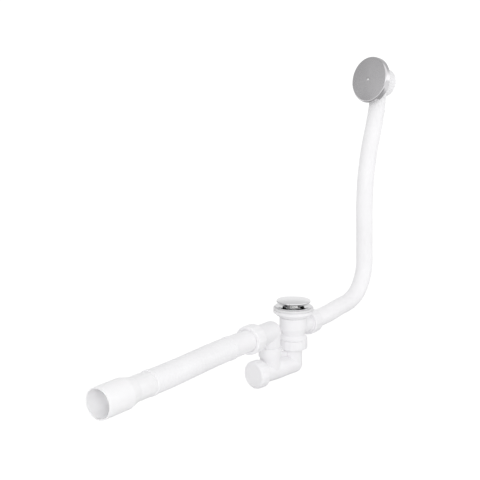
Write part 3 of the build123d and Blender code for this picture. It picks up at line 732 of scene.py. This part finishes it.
class BATHWASTE_OT_overflow_hose(Operator):
    """Make the finely ribbed overflow hose on a smooth spline from the branch to the head"""

    bl_idname = "bath_waste.overflow_hose"
    bl_label = "Overflow hose"

    def execute(self, context):
        sizes = settings().hoses
        points = spline_points(np.array(OVERFLOW_ROUTE) / 1000)
        run = np.concatenate([[0.0], np.cumsum(np.linalg.norm(np.diff(points, axis=0), axis=1))])
        profile = ribbed_profile(run[-1], sizes)
        ahead = np.gradient(points, run, axis=0)
        centre, heading = (
            np.stack([np.interp(profile[:, 0], run, line[:, k]) for k in range(3)], axis=-1)
            for line in (points, ahead)
        )
        heading /= np.linalg.norm(heading, axis=1, keepdims=True)
        up = np.cross(heading, HOSE_SIDE)
        material = moulded_finish("White hose plastic", settings().colours.hose, *HOSE_SKIN)
        hose = hose_piece("ribbed_overflow_hose", profile[:, 1], centre, up, OVERFLOW_AROUND, material)
        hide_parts("overflow_hose")
        return {"FINISHED"}


class BATHWASTE_OT_ringed_hose(Operator):
    """Make the ringed outlet hose with its two cuffs"""

    bl_idname = "bath_waste.ringed_hose"
    bl_label = "Ringed outlet hose"

    def execute(self, context):
        sizes = settings().hoses
        low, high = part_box("outlet_hose")
        start, end = node_middle("outlet_tail"), node_middle("outlet_end")
        total = high[0] - low[0]
        profile = ringed_profile(total, sizes)
        eased = smooth((profile[:, 0] / total - DROP_START) / DROP_SPAN)
        level = start[2] + (end[2] - start[2]) * eased
        centre = np.stack([high[0] - profile[:, 0], np.full(len(profile), start[1]), level], axis=-1)
        up = np.tile([0.0, 0.0, 1.0], (len(profile), 1))
        material = moulded_finish("White ringed plastic", settings().colours.ringed, *HOSE_SKIN)
        hose = hose_piece("ringed_outlet_hose", profile[:, 1], centre, up, RINGED_AROUND, material)
        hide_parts("outlet_hose")
        return {"FINISHED"}


class BATHWASTE_OT_union_nuts(Operator):
    """Make the three ribbed union nuts with rounded edges"""

    bl_idname = "bath_waste.union_nuts"
    bl_label = "Union nuts"

    def execute(self, context):
        sizes = settings().nuts
        for node, (way, mouth_d, hole_d) in UNION_NUTS.items():
            self.nut(node, np.array(way), mouth_d / 2, hole_d / 2, sizes)
        return {"FINISHED"}

    def nut(self, node, way, mouth_r, hole_r, sizes):
        """Closed profile turned about the nut's axis: mouth face, rounded edge, grip, rounded edge, lip face,
        hole, lip's back and mouth."""
        middle, edge = node_middle(node), sizes.edge_round
        low, high, outer = around_axis(node, middle, way)
        grip = np.vstack([
            quarter(low + edge, outer - edge, -edge, edge, 0.0),
            quarter(high - edge, outer - edge, -edge, edge, 90.0),
        ])
        back = high - sizes.lip_t
        inside = [(high, hole_r), (back, hole_r), (back, mouth_r), (low, mouth_r)]
        profile = np.vstack([grip, inside])
        gripped = np.append(np.ones(len(grip)), np.zeros(len(inside)))
        points, faces = turned(profile[:, 0], ribbed(profile, gripped, sizes), middle, way, False)
        nut = white_piece("grip_" + node, points, faces, "fixed_fitting")
        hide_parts(node)


class BATHWASTE_OT_cleanout_cap(Operator):
    """Make the ribbed cleanout cap with its sunk face"""

    bl_idname = "bath_waste.cleanout_cap"
    bl_label = "Cleanout cap"

    def execute(self, context):
        """Profile turned about the cap's axis, from the sunk face's middle over the rim and the grip to the
        mouth and the floor's middle."""
        sizes = settings().nuts
        low, high, outer = around_axis("cleanout_cap", CAP_POINT, CAP_WAY)
        edge, front = sizes.edge_round, sizes.cap_round
        sunk_r, sunk = outer - sizes.cap_rim, high - sizes.cap_recess
        soft = sizes.cap_recess / 2
        floor = high - sizes.cap_face_t
        face = np.vstack([
            [(sunk, 0.0), (sunk, INNER_RING * sunk_r), (sunk, sunk_r - soft)],
            quarter(high - soft, sunk_r + soft, soft, -soft, 90.0)[::-1],
        ])
        grip = np.vstack([
            quarter(high - front, outer - front, front, front, 0.0),
            quarter(low + edge, outer - edge, edge, edge, 90.0),
        ])
        bore_r = sizes.cap_bore_d / 2
        inside = [(low, bore_r), (floor, bore_r), (floor, INNER_RING * bore_r), (floor, 0.0)]
        profile = np.vstack([face, grip, inside])
        gripped = np.concatenate([np.zeros(len(face)), np.ones(len(grip)), np.zeros(len(inside))])
        points, faces = turned(profile[:, 0], ribbed(profile, gripped, sizes), CAP_POINT, CAP_WAY, True)
        cap = white_piece("grip_cleanout_cap", points, faces, "cap")
        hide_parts("cleanout_cap")
        return {"FINISHED"}


class BATHWASTE_OT_threads(Operator):
    """Make the cleanout's thread on the trap's end and in the cap"""

    bl_idname = "bath_waste.threads"
    bl_label = "Cleanout threads"

    def execute(self, context):
        sizes = settings().threads
        core_r, bore_r = sizes.core_d / 2, settings().nuts.cap_bore_d / 2
        trap = (TRAP_THREAD_START, sizes.outer_turns, core_r, sizes.height)
        cap = (CAP_THREAD_START, sizes.inner_turns, bore_r, -sizes.height)
        self.thread("cleanout_thread", "fixed_fitting", *trap, sizes)
        self.thread("cap_thread", "cap", *cap, sizes)
        return {"FINISHED"}

    def thread(self, name, body, start, turns, foot_r, height, sizes):
        """One thread as a strip of quads round its section, with both ends closed by a quad."""
        grid = helix_thread(CAP_POINT, CAP_WAY, start, turns, foot_r, height, sizes)
        rows, columns = grid.shape[:2]
        ends = np.array([[3, 2, 1, 0], [0, 1, 2, 3]]) + [[0], [(rows - 1) * columns]]
        white_piece(name, grid.reshape(-1, 3), [wound_quads(rows, columns, False), ends], body)


class BATHWASTE_OT_plated(Operator):
    """Finish the polished plug and flange, the screw and the spring"""

    bl_idname = "bath_waste.plated"
    bl_label = "Plated pieces"

    def execute(self, context):
        colours = settings().colours
        dress(["plug_cap"], turned_finish("Polished chrome", colours.chrome, *POLISHED))
        dress(["waste_flange"], turned_finish("Flange chrome", colours.flange, *POLISHED))
        steel = turned_finish(DRAWN_STEEL, colours.steel, *DRAWN)
        dress(["overflow_screw", "cartridge_spring"], steel)
        return {"FINISHED"}


class BATHWASTE_OT_spring(Operator):
    """Make the plug's round wire spring"""

    bl_idname = "bath_waste.spring"
    bl_label = "Plug spring"

    def execute(self, context):
        sizes = settings().spring
        low, high = (np.array(corner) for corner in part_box("cartridge_spring"))
        wire_r = sizes.wire_d / 2
        points, faces = coil(high[0] - wire_r, low[2] + wire_r, high[2] - wire_r, sizes.turns, wire_r)
        steel = bpy.data.materials[DRAWN_STEEL]
        spring = mesh_piece("wire_spring", points, faces, "fixed_fitting", steel)
        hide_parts("cartridge_spring")
        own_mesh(spring)
        return {"FINISHED"}


class BATHWASTE_OT_cover(Operator):
    """Finish the spun cover and make the bright pip in its middle"""

    bl_idname = "bath_waste.cover"
    bl_label = "Spun cover"

    def execute(self, context):
        sizes, colours = settings().cover, settings().colours
        shell = mesh_points(NODES["overflow_cover"].data)
        crown = shell[shell.dot(HEAD_WAY).argmax()]
        rim = (sizes.face_d / 2, sizes.rim_d / 2)
        tip, heading = -acos(HEAD_WAY[2]), atan2(-HEAD_WAY[1], -HEAD_WAY[0])
        place = {"centre": tuple(crown), "turn": (0.0, tip, heading), "rim": rim}
        spun = turned_finish("Spun chrome", colours.cover, *SPUN, **place)
        tree = spun.node_tree
        shader = tree.nodes["Principled BSDF"]
        tangent = placed(tree, "Tangent", {}, direction_type="RADIAL", axis="X")
        tree.links.new(tangent, shader.inputs["Tangent"])
        shader.inputs["Anisotropic"].default_value = SPUN_STRETCH
        dress(["overflow_cover"], spun)
        self.pip(crown, sizes)
        return {"FINISHED"}

    def pip(self, crown, sizes):
        """A low dome on the cover's middle: at angle t from its top, a ring of radius r * sin t at height
        h * cos t. A fan closes the top, and another the flat foot, which is sunk a little in the cover."""
        t = np.linspace(0, pi / 2, PIP_STEPS)
        run = np.append(sizes.pip_height * (np.cos(t) - PIP_SUNK), -PIP_SUNK * sizes.pip_height)
        radius = np.append(sizes.pip_d / 2 * np.sin(t), 0.0)
        points, faces = turned(run, np.tile(radius[:, None], PIP_AROUND), crown, HEAD_WAY, True)
        satin = turned_finish("Satin chrome", settings().colours.pip, *SATIN)
        mesh_piece("cover_pip", points, faces, "fixed_fitting", satin)


class BATHWASTE_OT_rubber(Operator):
    """Finish the dark seals and the pale waste gasket"""

    bl_idname = "bath_waste.rubber"
    bl_label = "Rubber pieces"

    def execute(self, context):
        colours = settings().colours
        dark = moulded_finish("Dark rubber", colours.dark_rubber, *SEAL_SKIN)
        dress(["plug_seal", "branch_seal", "trap_inlet_seal", "riser_seal", "outlet_seal"], dark)
        dress(["overflow_gasket", "cleanout_seal"], dark)
        dress(["waste_gasket"], moulded_finish("Pale rubber", colours.pale_rubber, *GASKET_SKIN))
        return {"FINISHED"}


class BATHWASTE_OT_stage(Operator):
    """Set the pale floor, the soft light and the camera"""

    bl_idname = "bath_waste.stage"
    bl_label = "Studio"

    def execute(self, context):
        stage = settings().stage
        scene = context.scene
        scene.view_settings.view_transform = "Standard"
        self.floor(scene, stage)
        self.room(scene, stage)
        key = self.lamp(scene, "Key", "AREA", stage.key_power, KEY_PLACE, KEY_TURN)
        key.shape = "DISK"
        key.size = stage.key_size
        mouth = node_middle("outlet_end")
        mouth[0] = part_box("outlet_end")[0][0]
        self.small_lamp(scene, "Mouth lamp", mouth, stage.mouth_power, **MOUTH_LAMP)
        self.small_lamp(scene, "Plug lamp", STEM_MIDDLE, stage.plug_power, **PLUG_LAMP)
        lens = bpy.data.cameras.new("Camera")
        lens.lens = stage.lens
        lens.sensor_width = SENSOR_WIDTH
        lens.clip_end = VIEW_END
        camera = bpy.data.objects.new("Camera", lens)
        camera.location = stage.camera_place
        camera.rotation_euler = (pi / 2 - stage.camera_tilt, 0.0, stage.camera_heading)
        scene.collection.objects.link(camera)
        scene.camera = camera
        return {"FINISHED"}

    def floor(self, scene, stage):
        """A flat pale floor under the lowest point of the object. The camera sees it nearly shadeless, and in
        plated faces it is darker near the object and bright far away."""
        half, level = stage.floor_size / 2, CAD_BOX[0][2]
        corners = [(-half, -half, level), (half, -half, level), (half, half, level), (-half, half, level)]
        mesh = bpy.data.meshes.new("studio_floor")
        mesh.from_pydata(corners, [], [(0, 1, 2, 3)])
        material, tree, shader, place = new_finish("Pale floor")
        skin = place_group(tree, "Moulded skin", moulded_skin_group, place, **FLOOR_SKIN)
        tree.links.new(between(tree, skin["Tone"], *FLOOR_TONES), shader.inputs["Base Color"])
        shader.inputs["Roughness"].default_value = FLOOR_ROUGHNESS
        glow = placed(tree, "Emission", {"Strength": WHITE_LIGHT})
        distance = placed(tree, "VectorMath", {0: place}, "Value", operation="LENGTH")
        mirrored = placed(tree, "Emission", {"Strength": stretched(tree, distance, *FLOOR_GLOW)})
        seen = tree.nodes.new("ShaderNodeLightPath").outputs
        by_camera = worked(tree, "MULTIPLY", seen["Is Camera Ray"], FLOOR_SHADELESS)
        in_metal = worked(tree, "MULTIPLY", seen["Is Glossy Ray"], FLOOR_MIRRORED)
        shown = blended(tree, by_camera, shader.outputs[0], glow)
        whole = blended(tree, in_metal, shown, mirrored)
        tree.links.new(whole, tree.nodes["Material Output"].inputs["Surface"])
        mesh.materials.append(material)
        floor = bpy.data.objects.new("studio_floor", mesh)
        scene.collection.objects.link(floor)

    def room(self, scene, stage):
        """Soft room light that is brighter on the far side. The camera sees plain white. Plated faces also
        see a weak panel on the left, a strong one on the right, and a dimmer side, ceiling and horizon."""
        world = bpy.data.worlds.new("Studio room")
        scene.world = world
        world.use_nodes = True
        tree = world.node_tree
        way = placed(tree, "TexCoord", {}, "Generated")
        seen = tree.nodes.new("ShaderNodeLightPath").outputs
        far = self.toward(tree, way, FAR_SIDE, stage.dark_side, stage.bright_side)
        left = self.toward(tree, way, LEFT_PANEL, 0.0, stage.left_panel)
        right = self.toward(tree, way, RIGHT_PANEL, 0.0, stage.right_panel)
        aside = self.toward(tree, way, DIM_SIDE, 1.0, stage.side_dim)
        above = self.toward(tree, way, CEILING, 1.0, CEILING_DIM)
        level = self.toward(tree, way, HORIZON, stage.horizon_dim, 0.0)
        near = self.toward(tree, way, AHEAD, 1.0, 0.0)
        dim = worked(tree, "SUBTRACT", above, worked(tree, "MULTIPLY", level, near))
        lit = worked(tree, "ADD", worked(tree, "ADD", far, left), right)
        mirrored = worked(tree, "MULTIPLY", worked(tree, "MULTIPLY", lit, aside), dim)
        change = worked(tree, "MULTIPLY", worked(tree, "SUBTRACT", mirrored, far), seen["Is Glossy Ray"])
        light = tree.nodes["Background"]
        light.inputs["Color"].default_value = WHITE
        tree.links.new(worked(tree, "ADD", far, change), light.inputs["Strength"])
        white = placed(tree, "Background", {"Color": WHITE, "Strength": WHITE_LIGHT})
        shown = blended(tree, seen["Is Camera Ray"], light.outputs[0], white)
        tree.links.new(shown, tree.nodes["World Output"].inputs["Surface"])

    def toward(self, tree, way, part, before, full):
        """A value that goes from one to another as a direction turns to face a part of the room."""
        target, start, end = part
        facing = placed(tree, "VectorMath", {0: way, 1: target}, "Value", operation="DOT_PRODUCT")
        return stretched(tree, facing, start, end, before, full)

    def small_lamp(self, scene, name, target, power, way, reach, distance):
        """A narrow soft lamp that reaches into a hollow, aimed at its target from a distance."""
        way = Vector(way).normalized()
        place, turn = Vector(target) + way * distance, way.to_track_quat("Z", "Y").to_euler()
        lamp = self.lamp(scene, name, "SPOT", power, place, turn)
        lamp.spot_size = 2 * atan2(reach, distance)
        lamp.spot_blend = LAMP_BLEND
        lamp.shadow_soft_size = LAMP_RADIUS

    def lamp(self, scene, name, kind, power, place, turn):
        """A lamp that plated faces don't mirror."""
        lamp = bpy.data.lights.new(name, kind)
        lamp.energy = power
        holder = bpy.data.objects.new(name, lamp)
        holder.location = place
        holder.rotation_euler = turn
        holder.visible_glossy = False
        scene.collection.objects.link(holder)
        return lamp


class BATHWASTE_PT_panel(Panel):
    """Lists the operators of the bath waste"""

    bl_idname = "BATHWASTE_PT_panel"
    bl_label = "Bath waste"
    bl_space_type = "VIEW_3D"
    bl_region_type = "UI"
    bl_category = "Bath waste"

    def draw(self, context):
        for operator in OPERATORS:
            self.layout.operator(operator.bl_idname)


OPERATORS = (
    BATHWASTE_OT_moulded,
    BATHWASTE_OT_overflow_hose,
    BATHWASTE_OT_ringed_hose,
    BATHWASTE_OT_union_nuts,
    BATHWASTE_OT_cleanout_cap,
    BATHWASTE_OT_threads,
    BATHWASTE_OT_plated,
    BATHWASTE_OT_spring,
    BATHWASTE_OT_cover,
    BATHWASTE_OT_rubber,
    BATHWASTE_OT_stage,
)
SIZES = (HoseSizes, NutSizes, ThreadSizes, SpringSizes, CoverSizes)
GROUPS = (*SIZES, FinishColours, StageSettings, BathWasteSettings)
CLASSES = (*GROUPS, *OPERATORS, BATHWASTE_PT_panel)


def register():
    """Register the classes and put the settings on the scene."""
    for kind in CLASSES:
        bpy.utils.register_class(kind)
    bpy.types.Scene.bath_waste = PointerProperty(type=BathWasteSettings)


def unregister():
    """Take the settings and the classes away."""
    del bpy.types.Scene.bath_waste
    for kind in reversed(CLASSES):
        bpy.utils.unregister_class(kind)


def main():
    """Make every piece in order."""
    register()
    bpy.ops.bath_waste.moulded()
    bpy.ops.bath_waste.overflow_hose()
    bpy.ops.bath_waste.ringed_hose()
    bpy.ops.bath_waste.union_nuts()
    bpy.ops.bath_waste.cleanout_cap()
    bpy.ops.bath_waste.threads()
    bpy.ops.bath_waste.plated()
    bpy.ops.bath_waste.spring()
    bpy.ops.bath_waste.cover()
    bpy.ops.bath_waste.rubber()
    bpy.ops.bath_waste.stage()


if __name__ == "__main__":
    main()
